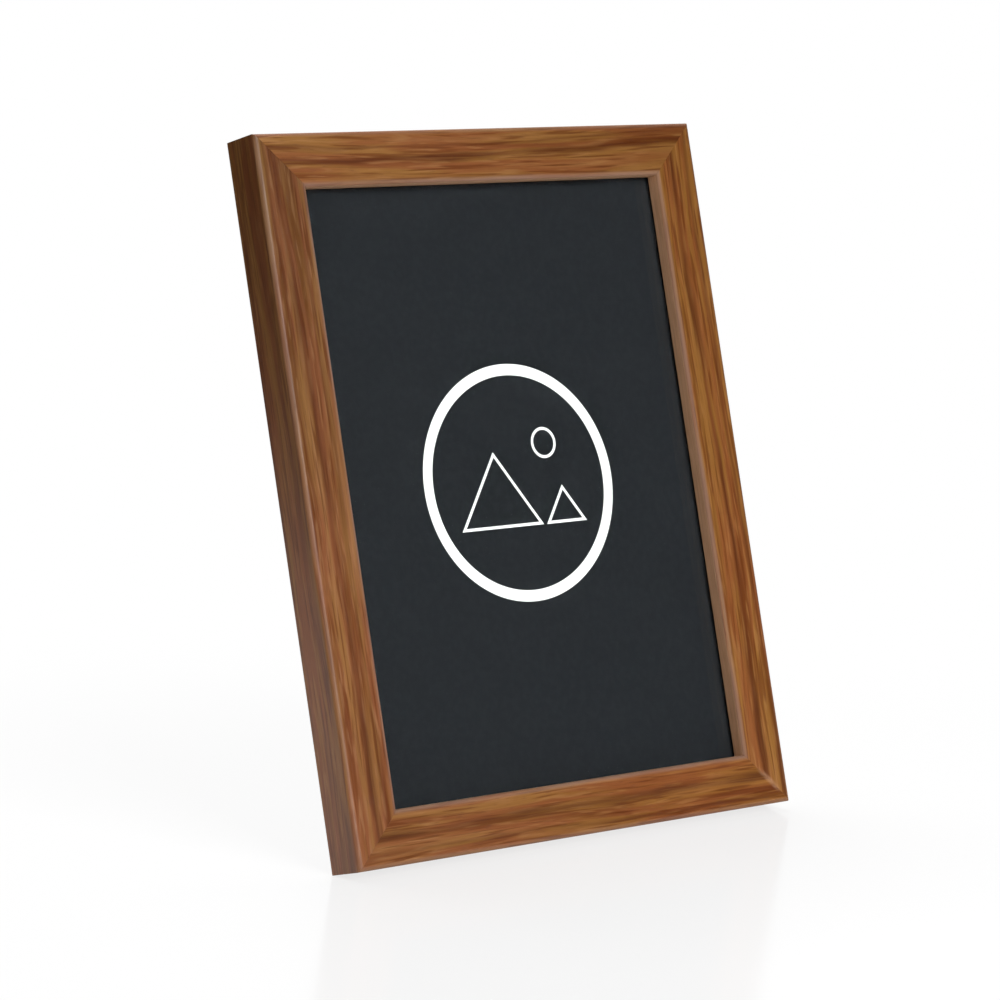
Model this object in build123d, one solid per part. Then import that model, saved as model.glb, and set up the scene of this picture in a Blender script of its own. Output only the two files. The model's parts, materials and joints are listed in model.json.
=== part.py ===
from build123d import *

import os
from math import cos, radians, sin

# Easel back photo frame for an upright 15 x 20 cm print.
#
# Every piece is drawn with the frame upright: X runs to the right as seen from the front, Y from
# the front face to the back, and Z up the frame, with the front face on Y = 0 and the bottom edge
# on Z = 0. The finished pieces are then leaned back together until the moulding's bottom back
# edge and the strut's foot stand on the floor, Z = 0, with the origin under the object's middle.

# Picture, and the sheets that lie behind the moulding's lip
PHOTO_WIDTH = 150.0
PHOTO_HEIGHT = 200.0
GLASS_THICKNESS = 2.0
INSERT_THICKNESS = 0.4
BOARD_THICKNESS = 3.0
REBATE_CLEARANCE = 0.5  # on each side, between a sheet's edge and the wall of the rebate

# Wooden moulding
FACE_WIDTH = 17.0
MOULDING_DEPTH = 15.0
LIP_DEPTH = 5.0
SIGHT_OVERLAP = 4.0  # how far the lip covers each edge of the picture
OUTER_RADIUS = 1.5
SIGHT_RADIUS = 1.2
BACK_RADIUS = 0.8

# V nails across the mitres
NAIL_WING = 4.0
NAIL_THICKNESS = 0.5
NAIL_HEIGHT = 7.0
NAIL_SINK = 0.3
NAIL_LIP_RADIUS = 0.45
NAIL_CLEARANCE = 0.02
NAIL_PLACE_SHARES = (0.28, 0.66)  # of the solid wood between the outer edge and the clip groove

# Rivets
RIVET_SHANK_RADIUS = 1.3
RIVET_HEAD_RADIUS = 2.6
RIVET_HEAD_HEIGHT = 0.9
RIVET_HEAD_ROUND = 0.6
RIVET_TAIL_RADIUS = 2.3
RIVET_TAIL_HEIGHT = 0.7
RIVET_THIN_TAIL = 0.3  # tail of the rivets through the strut, which has to fold close to the board
RIVET_SINK = 0.1
RIVET_CLEARANCE = 0.03

# Turn clips on the board, whose tips reach into a groove in the rebate's wall
CLIP_THICKNESS = 0.8
CLIP_WIDTH = 10.0
CLIP_INSET = 10.0  # from the board's edge to the clip's pivot
CLIP_BITE = 2.0
CLIP_TAIL = 8.0
CLIP_TAB_HEIGHT = 3.2
CLIP_BEND_RADIUS = 1.0
CLIP_CORNER_RADIUS = 1.2
CLIP_LIFT = 0.15
CLIP_PLAY = 0.1
CLIP_BORE_CLEARANCE = 0.05
GROOVE_CLEARANCE = 0.35
GROOVE_TIP_CLEARANCE = 1.0
CLIP_HEIGHT_SHARES = {"upper": 0.76, "lower": 0.24}  # of the board's height

# Easel hinge
HINGE_WIDTH = 32.0
HINGE_HEIGHT_SHARE = 0.62  # of the frame's height, up to the pin
LEAF_THICKNESS = 0.8
LEAF_HEIGHT = 18.0
LEAF_CORNER_RADIUS = 2.5
KNUCKLE_WIDTH = 9.0
KNUCKLE_GAP = 0.3
PIN_RADIUS = 1.2
PIN_CLEARANCE = 0.05
PIN_PROUD = 0.6
PIN_ROUND = 0.4
BARREL_STANDOFF = 0.3
LEAF_RIVET_SPACING = 18.0
LEAF_RIVET_REACH = 11.0

# Easel strut
LEAN = 13.4  # degrees that the frame leans back
STRUT_OPENING = 25.0  # degrees between the board and the open strut
STRUT_THICKNESS = 3.0
STRUT_HORN_WIDTH = 7.0
STRUT_FOOT_WIDTH = 62.0
STRUT_CORNER_RADIUS = 4.0
STRUT_HORN_RADIUS = 1.0
STOP_CLEARANCE = 0.1
NOTCH_CLEARANCE = 0.5

# Strap and D ring hangers
RING_WIRE_RADIUS = 0.9
RING_WIDTH = 14.0
RING_SIDE = 2.0
RING_CORNER_RADIUS = 1.5
STRAP_WIDTH = 7.0
STRAP_THICKNESS = 0.5
STRAP_STEP = 0.5
STRAP_BAR_CLEARANCE = 0.05
STRAP_RIVET_REACH = 4.5
HANGER_INSET = 15.0  # from the board's edge to the ring's bar

OVERRUN = 1.0  # how far a cutting shape passes the face that it opens

# Sizes that follow from those above
OUTER_WIDTH = PHOTO_WIDTH - 2 * SIGHT_OVERLAP + 2 * FACE_WIDTH
OUTER_HEIGHT = PHOTO_HEIGHT - 2 * SIGHT_OVERLAP + 2 * FACE_WIDTH
LAND_WIDTH = FACE_WIDTH - SIGHT_OVERLAP - REBATE_CLEARANCE
MIDDLE_HEIGHT = OUTER_HEIGHT / 2

GLASS_FRONT = LIP_DEPTH
INSERT_FRONT = GLASS_FRONT + GLASS_THICKNESS
BOARD_FRONT = INSERT_FRONT + INSERT_THICKNESS
BOARD_BACK = BOARD_FRONT + BOARD_THICKNESS

CLIP_FRONT = BOARD_BACK + CLIP_LIFT
CLIP_BACK = CLIP_FRONT + CLIP_THICKNESS
CLIP_REACH = CLIP_INSET + REBATE_CLEARANCE + CLIP_BITE
CLIP_PIVOT = PHOTO_WIDTH / 2 - CLIP_INSET
GROOVE_DEPTH = CLIP_BITE + GROOVE_TIP_CLEARANCE

BARREL_RADIUS = PIN_RADIUS + PIN_CLEARANCE + LEAF_THICKNESS
PIN_STANDOFF = BARREL_STANDOFF + BARREL_RADIUS
PIN_DEPTH = BOARD_BACK + PIN_STANDOFF
PIN_HEIGHT = HINGE_HEIGHT_SHARE * OUTER_HEIGHT
CENTRE_KNUCKLE_WIDTH = HINGE_WIDTH - 2 * KNUCKLE_WIDTH - 2 * KNUCKLE_GAP

STRUT_LEAF_FRONT = PIN_DEPTH - BARREL_RADIUS
STRUT_FRONT = STRUT_LEAF_FRONT + LEAF_THICKNESS
STRUT_BACK = STRUT_FRONT + STRUT_THICKNESS
NOTCH_WIDTH = HINGE_WIDTH + 2 * PIN_PROUD + 2 * NOTCH_CLEARANCE
STRUT_TOP_WIDTH = NOTCH_WIDTH + 2 * STRUT_HORN_WIDTH

LOOP_RADIUS = RING_WIRE_RADIUS + STRAP_BAR_CLEARANCE + STRAP_THICKNESS
RING_DEPTH = BOARD_BACK + LOOP_RADIUS
TOP_BAR_HEIGHT = MIDDLE_HEIGHT + PHOTO_HEIGHT / 2 - HANGER_INSET
SIDE_BAR_PLACE = PHOTO_WIDTH / 2 - HANGER_INSET


def leaned(depth, height):
    """Depth and height above the floor, once the frame leans, of a place in the drawn frame."""
    lean = radians(LEAN)
    heel = BACK_RADIUS * cos(lean) - (MOULDING_DEPTH - BACK_RADIUS) * sin(lean) - BACK_RADIUS
    return depth * cos(lean) + height * sin(lean), height * cos(lean) - depth * sin(lean) - heel


def strut_reach():
    """Length of the strut below the pin, and the depth of its foot's back edge on the floor."""
    slope = radians(STRUT_OPENING - LEAN)
    behind_pin = STRUT_BACK - PIN_DEPTH
    pin_depth, pin_height = leaned(PIN_DEPTH, PIN_HEIGHT)
    length = (pin_height + behind_pin * sin(slope)) / cos(slope)
    return length, pin_depth + behind_pin * cos(slope) + length * sin(slope)


def stand():
    """Location that leans the drawn frame onto the floor, with the origin under its middle."""
    front = leaned(OUTER_RADIUS, OUTER_RADIUS)[0] - OUTER_RADIUS
    top_back = leaned(MOULDING_DEPTH - BACK_RADIUS, OUTER_HEIGHT - BACK_RADIUS)[0] + BACK_RADIUS
    back = max(strut_reach()[1], top_back)
    return Pos(0, -(front + back) / 2, leaned(0, 0)[1]) * Rot(-LEAN, 0, 0)


def opened():
    """Location that swings the strut about the pin from flat on the board to its open stop."""
    return Pos(0, PIN_DEPTH, PIN_HEIGHT) * Rot(STRUT_OPENING, 0, 0) * Pos(0, -PIN_DEPTH, -PIN_HEIGHT)


def hanger_places():
    """Locations of the two hangers, by the middle of the ring's bar: upright and lengthways."""
    return {
        "top": Pos(0, RING_DEPTH, TOP_BAR_HEIGHT),
        "side": Pos(-SIDE_BAR_PLACE, RING_DEPTH, MIDDLE_HEIGHT) * Rot(0, -90, 0),
    }


def clip_places():
    """Name and location of each turn clip's pivot, with the clip's tip towards the nearest stile."""
    bottom = MIDDLE_HEIGHT - PHOTO_HEIGHT / 2
    places = {}
    for level, share in CLIP_HEIGHT_SHARES.items():
        for side, sign, turn in (("left", -1, 180), ("right", 1, 0)):
            pivot = Pos(sign * CLIP_PIVOT, 0, bottom + share * PHOTO_HEIGHT)
            places[f"turn_clip_{level}_{side}"] = pivot * Rot(0, turn, 0)
    return places


def span_box(x, y, z):
    """Box between the low and the high value given for each axis."""
    spans = (x, y, z)
    middle = [(low + high) / 2 for low, high in spans]
    return Pos(*middle) * Box(*[high - low for low, high in spans])


def rod(radius, x, z, y):
    """Round bar along Y through a place in X and Z, between two depths."""
    return Pos(x, sum(y) / 2, z) * Rot(90, 0, 0) * Cylinder(radius, y[1] - y[0])


def cross_rod(radius, y, z, x):
    """Round bar along X through a place in Y and Z, between two sides."""
    return Pos(sum(x) / 2, y, z) * Rot(0, 90, 0) * Cylinder(radius, x[1] - x[0])


def plate(outline, front, thickness):
    """Flat sheet with an outline given in X and Z, whose front face lies at the given depth."""
    points = [(x, front, z) for x, z in outline]
    return extrude(make_face(Polyline(*points, close=True)), amount=thickness, dir=(0, 1, 0))


def round_corners(solid, corners, depth, radius):
    """Rounds the edges of a plate that run along Y through the given corners in X and Z."""
    edges = solid.edges().filter_by(Axis.Y)
    return fillet([edges.sort_by_distance((x, depth, z))[0] for x, z in corners], radius)


def moulding_profile():
    """Section of the moulding: depth from front to back, and width from the outer edge inwards."""
    corners = (
        (0, 0),
        (0, FACE_WIDTH),
        (LIP_DEPTH, FACE_WIDTH),
        (LIP_DEPTH, LAND_WIDTH),
        (MOULDING_DEPTH, LAND_WIDTH),
        (MOULDING_DEPTH, 0),
    )
    rounds = ((corners[0], OUTER_RADIUS), (corners[1], SIGHT_RADIUS), (corners[5], BACK_RADIUS))
    section = make_face(Polyline(*corners, close=True))
    for corner, radius in rounds:
        section = fillet(section.vertices().sort_by_distance(corner)[0], radius)
    groove_width = CLIP_THICKNESS + 2 * GROOVE_CLEARANCE
    groove_middle = (CLIP_FRONT + CLIP_BACK) / 2
    groove = Pos(groove_middle, LAND_WIDTH - GROOVE_DEPTH / 2) * Rectangle(groove_width, GROOVE_DEPTH)
    return section - groove


def rail(length):
    """Length of moulding along X, with its outer edge on Z = 0 and both ends mitred."""
    bar = extrude(Plane.YZ * moulding_profile(), amount=length / 2, both=True)
    for side in (-1, 1):
        mitre = Plane((side * length / 2, 0, 0), x_dir=(0, 1, 0), z_dir=(-side, 0, -1))
        bar = split(bar, bisect_by=mitre, keep=Keep.TOP)
    return bar


def v_nail(place, ease, back):
    """V nail at a place on the mitre from the outer corner, eased all round and ending at a depth."""
    near = place - NAIL_THICKNESS / 2 - ease
    far = place + NAIL_THICKNESS / 2 + ease
    end = place + NAIL_WING
    depths = (MOULDING_DEPTH - NAIL_SINK - NAIL_HEIGHT - ease, back)
    nail = span_box((near, end), depths, (near, far)) + span_box((near, far), depths, (near, end))
    for x, z in ((end, place), (place, end)):
        nail += rod(NAIL_LIP_RADIUS + ease, x, z, depths)
    return nail


def corner_nails(ease, back):
    """All the V nails, two across each mitre, or their slots when eased."""
    half = OUTER_WIDTH / 2
    corners = (
        Pos(-half, 0, 0),
        Pos(-half, 0, OUTER_HEIGHT) * Rot(0, 90, 0),
        Pos(half, 0, OUTER_HEIGHT) * Rot(0, 180, 0),
        Pos(half, 0, 0) * Rot(0, -90, 0),
    )
    solid_wood = LAND_WIDTH - GROOVE_DEPTH
    nails = [v_nail(share * solid_wood, ease, back) for share in NAIL_PLACE_SHARES]
    return [corner * nail for corner in corners for nail in nails]


def mouldings():
    """The four mitred lengths of moulding, slotted for the V nails."""
    upright = rail(OUTER_HEIGHT)
    level = rail(OUTER_WIDTH)
    half = OUTER_WIDTH / 2
    lengths = {
        "bottom_rail": level,
        "top_rail": Pos(0, 0, OUTER_HEIGHT) * Rot(0, 180, 0) * level,
        "left_stile": Pos(-half, 0, MIDDLE_HEIGHT) * Rot(0, 90, 0) * upright,
        "right_stile": Pos(half, 0, MIDDLE_HEIGHT) * Rot(0, -90, 0) * upright,
    }
    slots = corner_nails(NAIL_CLEARANCE, MOULDING_DEPTH + OVERRUN)
    return {name: length - slots for name, length in lengths.items()}


def sheet(front, thickness):
    """Sheet of the picture's size, centred in the rebate."""
    width = (-PHOTO_WIDTH / 2, PHOTO_WIDTH / 2)
    height = (MIDDLE_HEIGHT - PHOTO_HEIGHT / 2, MIDDLE_HEIGHT + PHOTO_HEIGHT / 2)
    return span_box(width, (front, front + thickness), height)


def leaf_rivet_places(direction):
    """Places of a hinge leaf's two rivets in X and Z, above the pin (1) or below it (-1)."""
    height = PIN_HEIGHT + direction * LEAF_RIVET_REACH
    return [(side * LEAF_RIVET_SPACING / 2, height) for side in (-1, 1)]


def hanger_rivet_places():
    """Places of the hangers' rivets in X and Z."""
    seats = [place * Pos(0, 0, -STRAP_RIVET_REACH) for place in hanger_places().values()]
    return [(seat.position.X, seat.position.Z) for seat in seats]


def clip_rivet_places():
    """Places of the turn clips' rivets in X and Z."""
    return [(place.position.X, place.position.Z) for place in clip_places().values()]


def back_board():
    """Fibreboard back, bored for the rivets, whose tails lie sunk in its front face."""
    board = sheet(BOARD_FRONT, BOARD_THICKNESS)
    through = (BOARD_FRONT - OVERRUN, BOARD_BACK + OVERRUN)
    sunk = (BOARD_FRONT - OVERRUN, BOARD_FRONT + RIVET_SINK + RIVET_TAIL_HEIGHT)
    for x, z in clip_rivet_places() + leaf_rivet_places(1) + hanger_rivet_places():
        board -= rod(RIVET_SHANK_RADIUS + RIVET_CLEARANCE, x, z, through)
        board -= rod(RIVET_TAIL_RADIUS + RIVET_CLEARANCE, x, z, sunk)
    return board


def rivet(place, tail_front, tail_height, seat):
    """Rivet along Y whose tail starts at one depth and whose domed head sits on another."""
    head = rod(RIVET_HEAD_RADIUS, *place, (seat, seat + RIVET_HEAD_HEIGHT))
    head = fillet(head.edges().sort_by(Axis.Y)[-1], RIVET_HEAD_ROUND)
    tail = rod(RIVET_TAIL_RADIUS, *place, (tail_front, tail_front + tail_height))
    return rod(RIVET_SHANK_RADIUS, *place, (tail_front, seat)) + tail + head


def board_rivets(places, seat):
    """Rivets through the board, with their tails sunk in its front and their heads at a depth."""
    return [rivet(place, BOARD_FRONT + RIVET_SINK, RIVET_TAIL_HEIGHT, seat) for place in places]


def turn_clip():
    """Pressed steel clip about its pivot: a round tip towards +X and a finger tab bent up at its tail."""
    half = CLIP_WIDTH / 2
    middle = CLIP_FRONT + CLIP_THICKNESS / 2
    tail = -CLIP_TAIL + CLIP_THICKNESS / 2
    top = CLIP_FRONT + CLIP_TAB_HEIGHT
    bend = FilletPolyline((tail, top), (tail, middle), (CLIP_REACH, middle), radius=CLIP_BEND_RADIUS)
    clip = extrude(trace(bend, CLIP_THICKNESS), amount=half, both=True)
    depths = (CLIP_FRONT, top)
    plan = span_box((-CLIP_TAIL, CLIP_REACH - half), depths, (-half, half))
    plan += rod(half, CLIP_REACH - half, 0, depths)
    clip = clip & plan
    tab_edges = clip.edges().filter_by(Axis.X).group_by(Axis.Y)[-1]
    clip = fillet(tab_edges, CLIP_CORNER_RADIUS)
    return clip - rod(RIVET_SHANK_RADIUS + CLIP_BORE_CLEARANCE, 0, 0, depths)


def knuckle(x):
    """Rolled barrel of the hinge between two sides, with no bore yet."""
    return cross_rod(BARREL_RADIUS, PIN_DEPTH, PIN_HEIGHT, x)


def hinge_leaf(front, direction, knuckles, cleared):
    """Hinge leaf above (1) or below (-1) the pin, with its knuckles, and cut back beside the others."""
    half = HINGE_WIDTH / 2
    end = PIN_HEIGHT + direction * LEAF_HEIGHT
    corners = ((-half, end), (half, end))
    leaf = plate(((-half, PIN_HEIGHT), (half, PIN_HEIGHT), *reversed(corners)), front, LEAF_THICKNESS)
    leaf = round_corners(leaf, corners, front, LEAF_CORNER_RADIUS)
    room = BARREL_RADIUS + KNUCKLE_GAP
    for x in cleared:
        leaf -= cross_rod(room, PIN_DEPTH, PIN_HEIGHT, x)
        leaf -= span_box(x, (front, front + room), (PIN_HEIGHT - room, PIN_HEIGHT + room))
    for x in knuckles:
        leaf += knuckle(x)
    leaf -= cross_rod(PIN_RADIUS + PIN_CLEARANCE, PIN_DEPTH, PIN_HEIGHT, (-half, half))
    for x, z in leaf_rivet_places(direction):
        leaf -= rod(RIVET_SHANK_RADIUS + RIVET_CLEARANCE, x, z, (front, front + LEAF_THICKNESS))
    return leaf


def hinge():
    """Both leaves of the easel hinge and its pin, with the strut's leaf swung open."""
    half = HINGE_WIDTH / 2
    centre = CENTRE_KNUCKLE_WIDTH / 2
    outer = ((-half, KNUCKLE_WIDTH - half), (half - KNUCKLE_WIDTH, half))
    beside_centre = ((-half, -centre), (centre, half))
    end = half + PIN_PROUD
    pin = cross_rod(PIN_RADIUS, PIN_DEPTH, PIN_HEIGHT, (-end, end))
    between_outer = [(outer[0][1], outer[1][0])]
    return {
        "hinge_board_leaf": hinge_leaf(BOARD_BACK, 1, outer, between_outer),
        "hinge_strut_leaf": opened() * hinge_leaf(STRUT_LEAF_FRONT, -1, [(-centre, centre)], beside_centre),
        "hinge_pin": fillet(pin.edges().filter_by(GeomType.CIRCLE), PIN_ROUND),
    }


def easel_strut():
    """Open strut: tapered board, notched round the hinge between two horns that stop on the back."""
    opening = radians(STRUT_OPENING)
    stop = PIN_STANDOFF - STOP_CLEARANCE - (PIN_DEPTH - STRUT_FRONT) * cos(opening)
    top = PIN_HEIGHT + stop / sin(opening)
    foot = PIN_HEIGHT - strut_reach()[0]
    horns = ((STRUT_TOP_WIDTH / 2, top), (-STRUT_TOP_WIDTH / 2, top))
    toes = ((-STRUT_FOOT_WIDTH / 2, foot), (STRUT_FOOT_WIDTH / 2, foot))
    strut = plate((*horns, *toes), STRUT_FRONT, STRUT_THICKNESS)
    strut = round_corners(strut, toes, STRUT_FRONT, STRUT_CORNER_RADIUS)
    strut = round_corners(strut, horns, STRUT_FRONT, STRUT_HORN_RADIUS)
    depths = (STRUT_FRONT - OVERRUN, STRUT_BACK + OVERRUN)
    notch_foot = PIN_HEIGHT - BARREL_RADIUS - NOTCH_CLEARANCE
    strut -= span_box((-NOTCH_WIDTH / 2, NOTCH_WIDTH / 2), depths, (notch_foot, top + OVERRUN))
    for x, z in leaf_rivet_places(-1):
        strut -= rod(RIVET_SHANK_RADIUS + RIVET_CLEARANCE, x, z, depths)
    reach = (-OUTER_HEIGHT, OUTER_HEIGHT)
    floor = stand().inverse() * span_box(reach, reach, (-OUTER_HEIGHT, 0))
    return opened() * strut - floor


def strut_rivets():
    """Rivets that hold the strut to its hinge leaf, swung open with it."""
    tail = STRUT_LEAF_FRONT - RIVET_THIN_TAIL
    return [opened() * rivet(place, tail, RIVET_THIN_TAIL, STRUT_BACK) for place in leaf_rivet_places(-1)]


def hanger_strap():
    """Steel strip folded round the ring's bar, which lies along X through the origin, and riveted below."""
    half = STRAP_WIDTH / 2
    width = (-half, half)
    strap = cross_rod(LOOP_RADIUS, 0, 0, width)
    layers = (-LOOP_RADIUS, STRAP_THICKNESS - LOOP_RADIUS, 2 * STRAP_THICKNESS - LOOP_RADIUS)
    for front, back, step in ((*layers[:2], 0), (*layers[1:], STRAP_STEP)):
        strap += span_box(width, (front, back), (-STRAP_RIVET_REACH, 0))
        end = rod(half, 0, -STRAP_RIVET_REACH, (front, back))
        strap += end & span_box(width, (front, back), (step - STRAP_RIVET_REACH - half, 0))
    strap -= cross_rod(RING_WIRE_RADIUS + STRAP_BAR_CLEARANCE, 0, 0, width)
    return strap - rod(RIVET_SHANK_RADIUS + RIVET_CLEARANCE, 0, -STRAP_RIVET_REACH, (layers[0], layers[-1]))


def hanger_ring():
    """D ring of round wire about its bar, which lies along X, with its bow hanging down."""
    half = RING_WIDTH / 2
    inner = half - RING_CORNER_RADIUS
    turn = RING_CORNER_RADIUS * (1 - cos(radians(45)))
    right = ((inner, 0, 0), (half - turn, 0, -turn), (half, 0, -RING_CORNER_RADIUS), (half, 0, -RING_SIDE))
    left = [(-x, y, z) for x, y, z in right]
    path = Wire(
        [
            Line(left[0], right[0]),
            ThreePointArc(*right[:3]),
            Line(right[2], right[3]),
            ThreePointArc(right[3], (0, 0, -RING_SIDE - half), left[3]),
            Line(left[3], left[2]),
            ThreePointArc(left[2], left[1], left[0]),
        ]
    )
    section = Plane(left[0], z_dir=(1, 0, 0)) * Circle(RING_WIRE_RADIUS)
    return sweep(section, path=path)


def hangers():
    """Both hangers' straps and rings: the upper ring hangs plumb and the side one lies on the board."""
    places = hanger_places()
    strap = hanger_strap()
    ring = hanger_ring()
    return {
        "hanger_strap_top": places["top"] * strap,
        "hanger_strap_side": places["side"] * strap,
        "hanger_ring_top": places["top"] * Rot(LEAN, 0, 0) * ring,
        "hanger_ring_side": places["side"] * ring,
    }


def turn_clips():
    """The four turn clips, each with its tip in the groove of the stile beside it."""
    clip = turn_clip()
    return {name: place * clip for name, place in clip_places().items()}


def pieces():
    """Every piece in the drawn frame, by node: a solid, or a list of separate solids."""
    return {
        **mouldings(),
        "corner_v_nails": corner_nails(0, MOULDING_DEPTH - NAIL_SINK),
        "glass_pane": sheet(GLASS_FRONT, GLASS_THICKNESS),
        "photo_insert": sheet(INSERT_FRONT, INSERT_THICKNESS),
        "back_board": back_board(),
        **turn_clips(),
        "turn_clip_rivets": board_rivets(clip_rivet_places(), CLIP_BACK + CLIP_PLAY),
        **hinge(),
        "hinge_board_rivets": board_rivets(leaf_rivet_places(1), BOARD_BACK + LEAF_THICKNESS),
        "hinge_strut_rivets": strut_rivets(),
        "easel_strut": easel_strut(),
        **hangers(),
        "hanger_rivets": board_rivets(hanger_rivet_places(), BOARD_BACK + 2 * STRAP_THICKNESS),
    }


def main():
    """Writes one STEP file for each node, leaned onto the floor."""
    os.makedirs("parts", exist_ok=True)
    for node, shape in pieces().items():
        solids = shape if isinstance(shape, list) else [shape]
        standing = [stand() * solid for solid in solids]
        export_step(standing[0] if len(standing) == 1 else Compound(children=standing), f"parts/{node}.step")


if __name__ == "__main__":
    main()
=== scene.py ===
import json
import logging
import math
from contextlib import contextmanager
from dataclasses import dataclass
from enum import Enum
from functools import reduce
from typing import Callable, Iterator, Sequence

import bmesh
import bpy
from mathutils import Color, Euler, Matrix, Vector


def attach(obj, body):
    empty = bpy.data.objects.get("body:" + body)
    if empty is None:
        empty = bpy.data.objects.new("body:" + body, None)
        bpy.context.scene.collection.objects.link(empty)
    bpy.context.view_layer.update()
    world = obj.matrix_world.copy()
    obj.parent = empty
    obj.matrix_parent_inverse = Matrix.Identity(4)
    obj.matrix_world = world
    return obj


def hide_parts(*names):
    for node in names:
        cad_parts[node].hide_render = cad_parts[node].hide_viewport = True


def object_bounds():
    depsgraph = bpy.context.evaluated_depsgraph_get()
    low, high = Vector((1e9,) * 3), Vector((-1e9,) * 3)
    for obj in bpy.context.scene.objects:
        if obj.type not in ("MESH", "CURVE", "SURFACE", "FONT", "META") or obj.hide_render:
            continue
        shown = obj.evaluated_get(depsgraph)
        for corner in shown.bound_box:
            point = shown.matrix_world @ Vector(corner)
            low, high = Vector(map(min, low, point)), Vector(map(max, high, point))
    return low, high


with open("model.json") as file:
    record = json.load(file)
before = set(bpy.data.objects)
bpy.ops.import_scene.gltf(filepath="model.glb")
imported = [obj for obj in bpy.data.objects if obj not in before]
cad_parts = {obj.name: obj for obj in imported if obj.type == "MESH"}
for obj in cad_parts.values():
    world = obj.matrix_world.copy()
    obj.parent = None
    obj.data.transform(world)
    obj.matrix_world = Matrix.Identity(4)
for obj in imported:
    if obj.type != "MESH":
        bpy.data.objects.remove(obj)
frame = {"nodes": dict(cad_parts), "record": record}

# Looks of the easel back photo frame: mitred walnut moulding, clear glass over a printed insert, and a
# black fibreboard back with its turn clips, hinged strut and hangers. Shapes are in metres, and the
# patterns of the finishes in millimetres.

CAD_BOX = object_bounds()
BODIES = frame["record"]["behaviour"]["bodies"]
CARRIERS = {node: body for body, nodes in BODIES.items() for node in nodes}
MM = 0.001
PER_METRE = 1000.0  # turns metres into the millimetres that the finishes are written in
NEAR = 0.00002  # how close two places have to be to count as one
DOUBLED = NEAR / 10  # how close two corners have to be to be merged
ALONG = 0.9  # how much of a direction lies along an axis that it follows, at least
TOWARDS = 0.5  # how much of a direction lies along an axis that it leans towards, at least
FLAT = math.radians(1)
SHARP = math.radians(35)
SAME_WAY_DIGITS = 4  # decimals to which two directions have to agree to count as one
SEED_WAY = Vector((1, 2, 3))  # the direction in which a seed shifts a noise
NOISE_MIDDLE = (0.5, 0.5, 0.5)
WHITE_LIGHT = (1.0, 1.0, 1.0, 1.0)
LOG = logging.getLogger("photo_frame")

Colour = tuple[float, float, float, float]
Sizes = tuple[float, float, float]
Span = tuple[Vector, Vector]
Piece = bpy.types.Object
Material = bpy.types.Material
Socket = bpy.types.NodeSocket
Value = Socket | float | Sequence[float]


class Slot(Enum):
    """Names of the record's material slots."""

    WALNUT = "walnut_moulding"
    GLASS = "clear_glass"
    PAPER = "printed_paper"
    FIBREBOARD = "black_fibreboard"
    ZINC = "zinc_steel"


class Element(Enum):
    """Kinds of mesh element that can be picked, by their operator names."""

    FACES = "FACE"
    EDGES = "EDGE"
    CORNERS = "VERT"


class Side(Enum):
    """The four lengths of moulding, each with its CAD node and its turn about Y from the bottom one."""

    BOTTOM = ("bottom_rail", 0)
    TOP = ("top_rail", 180)
    LEFT = ("left_stile", 90)
    RIGHT = ("right_stile", -90)

    def __init__(self, node: str, turn_deg: float) -> None:
        """Takes the CAD node, and the turn in degrees."""
        self.node = node
        self.turn = math.radians(turn_deg)


@dataclass(frozen=True)
class Easing:
    """A rounding of edges."""

    radius: float
    segments: int = 6


def tone(*screen: int) -> Colour:
    """Gives the linear colour of a screen colour, whose red, green and blue go from 0 to 255."""
    return (*Color([level / 255 for level in screen]).from_srgb_to_scene_linear(), 1.0)


# Modelling by hand


def choose(piece: Piece) -> None:
    """Makes a piece the active one and the only one selected.

    Args:
        piece: The piece.
    """
    bpy.ops.object.select_all(action="DESELECT")
    piece.select_set(True)
    bpy.context.view_layer.objects.active = piece


@contextmanager
def editing(piece: Piece) -> Iterator[None]:
    """Opens one piece in edit mode, and closes it again.

    Args:
        piece: The mesh object to open.
    """
    choose(piece)
    bpy.ops.object.mode_set(mode="EDIT")
    yield
    bpy.ops.object.mode_set(mode="OBJECT")


def pick(piece: Piece, kind: Element, test: Callable[[Vector, Vector], bool]) -> None:
    """Selects the elements of an open piece that pass a test.

    Args:
        piece: The mesh object in edit mode.
        kind: The kind of element to select.
        test: Takes an element's middle and its normal, or an edge's direction.
    """
    bpy.ops.mesh.select_mode(type=kind.value)
    bpy.ops.mesh.select_all(action="DESELECT")
    mesh = bmesh.from_edit_mesh(piece.data)
    kinds = {Element.FACES: mesh.faces, Element.EDGES: mesh.edges, Element.CORNERS: mesh.verts}
    for element in kinds[kind]:
        places = [element.co] if kind is Element.CORNERS else [corner.co for corner in element.verts]
        middle = sum(places, Vector()) / len(places)
        way = (places[1] - places[0]).normalized() if kind is Element.EDGES else element.normal
        if test(middle, way):
            element.select_set(True)
    bmesh.update_edit_mesh(piece.data)


def pick_all() -> None:
    """Selects the whole open piece."""
    bpy.ops.mesh.select_all(action="SELECT")


def push(shift: Sequence[float]) -> None:
    """Extrudes the selection by a shift."""
    bpy.ops.mesh.extrude_region_move(TRANSFORM_OT_translate={"value": tuple(shift)})


def cut(place: Sequence[float], normal: Sequence[float], keep_below: bool = False) -> None:
    """Cuts the whole open piece along a plane.

    Args:
        place: A point on the plane.
        normal: The plane's normal.
        keep_below: Whether what lies on the normal's side goes, and the cut is filled.
    """
    pick_all()
    bpy.ops.mesh.bisect(
        plane_co=tuple(place), plane_no=tuple(normal), use_fill=keep_below, clear_outer=keep_below
    )


def ease(easing: Easing) -> None:
    """Rounds the selected edges."""
    bpy.ops.mesh.bevel(offset=easing.radius, segments=easing.segments, profile=0.5, affect="EDGES")


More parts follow.
